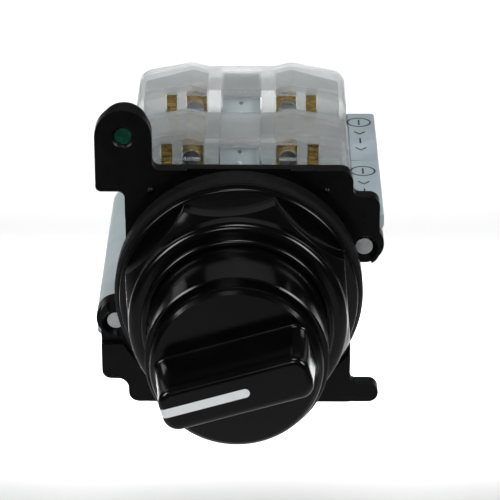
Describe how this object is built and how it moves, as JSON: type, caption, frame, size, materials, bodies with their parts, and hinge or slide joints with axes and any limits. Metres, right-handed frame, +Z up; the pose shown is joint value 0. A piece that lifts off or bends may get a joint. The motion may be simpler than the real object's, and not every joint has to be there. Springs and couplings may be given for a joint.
{
  "type": "selector switch",
  "caption": "Panel selector switch: flange with threaded bushing, gasket, nut and lever knob that turns a cam and pushes sliding contacts in tandem blocks behind.",
  "frame": {"origin": "on the axis of the threaded bushing, in the front face of the flange plate", "axes": "+X right, +Y into the panel (the knob points to -Y), +Z up"},
  "size_m": [0.0522, 0.0993, 0.0579],
  "materials": {
    "black_casting": "satin coating over a die casting",
    "gasket_rubber": "matt, slightly rough",
    "seal_rubber": "smooth",
    "black_plastic": "moulded gloss",
    "white_inlay": "filled white line",
    "zinc_steel": "zinc plated",
    "spring_steel": "bright spring wire",
    "natural_plastic": "natural moulding resin",
    "green_screw": "green dyed zinc plate",
    "grey_housing": "pale blue-grey moulding",
    "label_card": null,
    "brass": "stamped strip",
    "silver": "silver contact rivet",
    "clear_cover": "clear moulded plastic, slightly milky"
  },
  "bodies": {
    "operator": {"operator_body": "black_casting", "panel_gasket": "gasket_rubber", "retaining_nut": "black_plastic", "shaft_seal": "seal_rubber", "detent_balls": "zinc_steel", "detent_springs": "spring_steel", "rear_plate": "zinc_steel", "stop_pin": "zinc_steel", "ground_screw": "green_screw", "mounting_screws": "zinc_steel", "front_block_base": "grey_housing", "front_block_labels": "label_card", "front_contact_strips": "brass", "front_terminal_clamps": "brass", "front_terminal_screws": "zinc_steel", "front_fixed_contact_tips": "silver", "front_upper_cover": "clear_cover", "front_upper_return_spring": "spring_steel", "front_lower_cover": "clear_cover", "front_lower_return_spring": "spring_steel", "rear_block_base": "grey_housing", "rear_block_labels": "label_card", "rear_contact_strips": "brass", "rear_terminal_clamps": "brass", "rear_terminal_screws": "zinc_steel", "rear_fixed_contact_tips": "silver", "rear_upper_cover": "clear_cover", "rear_upper_return_spring": "spring_steel", "rear_lower_cover": "clear_cover", "rear_lower_return_spring": "spring_steel"},
    "knob": {"knob": "black_plastic", "knob_indicator": "white_inlay", "knob_screw": "zinc_steel", "selector_shaft": "zinc_steel", "shaft_clip": "zinc_steel", "detent_wheel": "natural_plastic", "selector_cam": "natural_plastic"},
    "upper_plungers": {"cam_follower_upper": "natural_plastic", "front_upper_carrier": "grey_housing", "front_upper_bridge": "brass", "front_upper_bridge_tips": "silver", "front_upper_contact_spring": "spring_steel", "rear_upper_carrier": "grey_housing", "rear_upper_bridge": "brass", "rear_upper_bridge_tips": "silver", "rear_upper_contact_spring": "spring_steel"},
    "lower_plungers": {"cam_follower_lower": "natural_plastic", "front_lower_carrier": "grey_housing", "front_lower_bridge": "brass", "front_lower_bridge_tips": "silver", "front_lower_contact_spring": "spring_steel", "rear_lower_carrier": "grey_housing", "rear_lower_bridge": "brass", "rear_lower_bridge_tips": "silver", "rear_lower_contact_spring": "spring_steel"}
  },
  "joints": [
    {"name": "knob_turn", "type": "hinge", "parent": "operator", "child": "knob", "pos_m": [0, 0, 0], "axis": [0, 1, 0], "range_deg": [-40, 80]},
    {"name": "upper_plunger_slide", "type": "slide", "parent": "operator", "child": "upper_plungers", "axis": [0, 1, 0], "range_m": [-0.0011, 0.0021], "deforming": ["front_upper_return_spring", "rear_upper_return_spring"]},
    {"name": "lower_plunger_slide", "type": "slide", "parent": "operator", "child": "lower_plungers", "axis": [0, 1, 0], "range_m": [-0.0021, 0.0011], "deforming": ["front_lower_return_spring", "rear_lower_return_spring"]}
  ],
  "couplings": [
    {"joint": "upper_plunger_slide", "follows": "knob_turn", "m_per_rad": 0.0014324},
    {"joint": "lower_plunger_slide", "follows": "knob_turn", "m_per_rad": -0.0014324}
  ]
}
